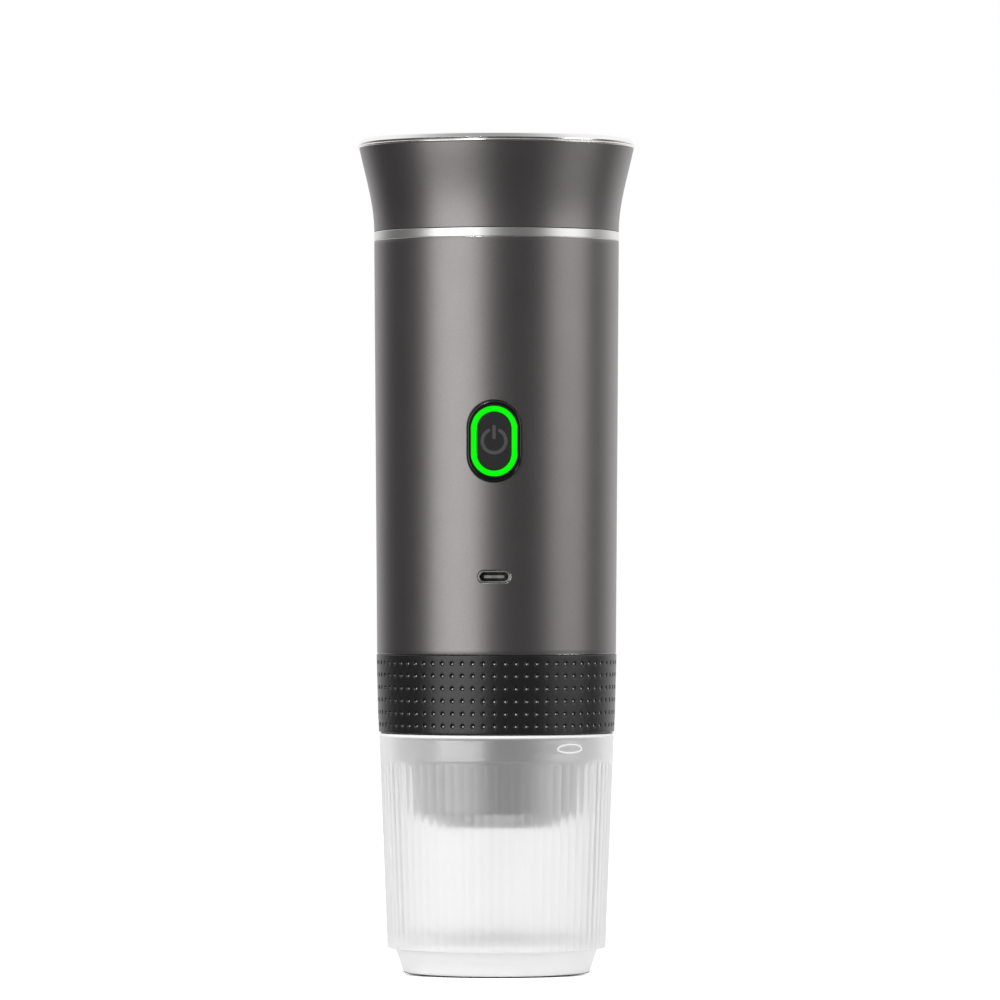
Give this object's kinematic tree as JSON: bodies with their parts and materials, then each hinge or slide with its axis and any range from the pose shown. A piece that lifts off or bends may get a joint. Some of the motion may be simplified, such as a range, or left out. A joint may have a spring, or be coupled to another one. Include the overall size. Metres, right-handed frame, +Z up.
{
  "type": "portable espresso maker",
  "caption": "Upright battery espresso maker: flared lid over a water tank, metal body with a lit power button, dimpled grip band and a clear fluted cup below.",
  "frame": {"origin": "centre of the foot of the cup, on the surface it stands on", "axes": "+Z up along the body, -Y out of the face with the power button, +X to the right of it"},
  "size_m": [0.08, 0.08, 0.24],
  "materials": {
    "gunmetal_shell": "satin metallic lacquer on aluminium",
    "polished_trim": "polished",
    "black_moulding": "moulded, fine grain",
    "grey_moulding": "moulded, fine grain",
    "grey_anodised": "turned and anodised grey",
    "gloss_black": "gloss",
    "light_guide": "clear, lit green",
    "print_grey": "printed",
    "black_rubber": "moulded with dimples",
    "soft_seal": "silicone",
    "stainless": "drawn and brushed",
    "fastener_steel": "zinc plated",
    "heater_alloy": "cast and milled",
    "cell_sleeve": "sleeved cell, with about the density of aluminium",
    "circuit_board": "coated laminate",
    "gear_brass": "machined",
    "wire_sleeve": "extruded",
    "clear_cup": "clear moulding"
  },
  "bodies": {
    "housing": {"body_shell": "gunmetal_shell", "neck_ring": "polished_trim", "tank_collar": "black_moulding", "tank_seal": "soft_seal", "water_tank": "stainless", "heater_plate": "heater_alloy", "heater_insulator": "soft_seal", "temperature_probe": "heater_alloy", "thermal_fuse": "heater_alloy", "chassis_lower": "black_moulding", "chassis_upper": "black_moulding", "chassis_screws": "fastener_steel", "battery_cells": "cell_sleeve", "cell_contacts": "fastener_steel", "main_board": "circuit_board", "board_chips": "black_moulding", "indicator_leds": "light_guide", "button_bezel": "gloss_black", "light_ring": "light_guide", "tact_switch": "black_moulding", "inlet_sleeve": "stainless", "inlet_tongue": "grey_moulding", "pump_housing": "black_moulding", "pump_cover": "heater_alloy", "pump_screws": "fastener_steel", "motor_can": "stainless", "motor_end_bell": "black_moulding", "idler_pin": "stainless", "inlet_hose": "soft_seal", "motor_leads": "wire_sleeve", "heater_leads": "wire_sleeve", "bulkhead": "black_moulding", "bulkhead_screws": "fastener_steel", "brew_gasket": "soft_seal", "shower_screen": "stainless", "shower_screws": "fastener_steel", "valve_spring": "stainless", "valve_retainer": "stainless"},
    "lid": {"lid_shell": "gunmetal_shell", "lid_rim_trim": "polished_trim", "lid_top_plate": "gunmetal_shell", "lid_liner": "black_moulding", "lid_seal": "soft_seal", "lid_vent_valve": "soft_seal"},
    "button": {"button_cap": "gloss_black", "power_symbol": "print_grey", "switch_plunger": "black_moulding"},
    "pump_rotor": {"motor_shaft": "stainless", "drive_gear": "gear_brass"},
    "pump_idler": {"idler_gear": "gear_brass"},
    "check_valve": {"valve_poppet": "stainless"},
    "brew_chamber": {"brew_chamber": "grey_moulding", "filter_basket": "stainless", "outlet_housing": "grey_anodised", "outlet_plate": "grey_moulding", "cup_seal": "soft_seal"},
    "lock_ring": {"lock_ring": "black_moulding", "grip_sleeve": "black_rubber"},
    "cup": {"cup": "clear_cup"}
  },
  "joints": [
    {"name": "lid_lift", "type": "slide", "parent": "housing", "child": "lid", "axis": [0, 0, 1], "range_m": [0, 0.04]},
    {"name": "button_press", "type": "slide", "parent": "housing", "child": "button", "axis": [0, 1, 0], "range_m": [0, 0.0008], "stiffness_N_per_m": 800},
    {"name": "pump_drive", "type": "hinge", "parent": "housing", "child": "pump_rotor", "pos_m": [0, 0, 0.1067], "axis": [0, 0, 1], "continuous": true},
    {"name": "pump_idle", "type": "hinge", "parent": "housing", "child": "pump_idler", "pos_m": [0.00338, 0.00586, 0.1067], "axis": [0, 0, 1], "continuous": true},
    {"name": "valve_open", "type": "slide", "parent": "housing", "child": "check_valve", "axis": [0, 0, -1], "range_m": [0, 0.001], "stiffness_N_per_m": 300, "deforming": ["valve_spring"]},
    {"name": "chamber_drop", "type": "slide", "parent": "housing", "child": "brew_chamber", "axis": [0, 0, -1], "range_m": [0, 0.01201]},
    {"name": "ring_twist", "type": "hinge", "parent": "brew_chamber", "child": "lock_ring", "pos_m": [0, 0, 0.0692], "axis": [0, 0, -1], "range_deg": [0, 720]},
    {"name": "cup_pull", "type": "slide", "parent": "brew_chamber", "child": "cup", "axis": [0, 0, -1], "range_m": [0, 0.04]}
  ],
  "couplings": [
    {"joint": "pump_idle", "follows": "pump_drive", "ratio": -1},
    {"joint": "chamber_drop", "follows": "ring_twist", "m_per_rad": 0.00095493}
  ]
}
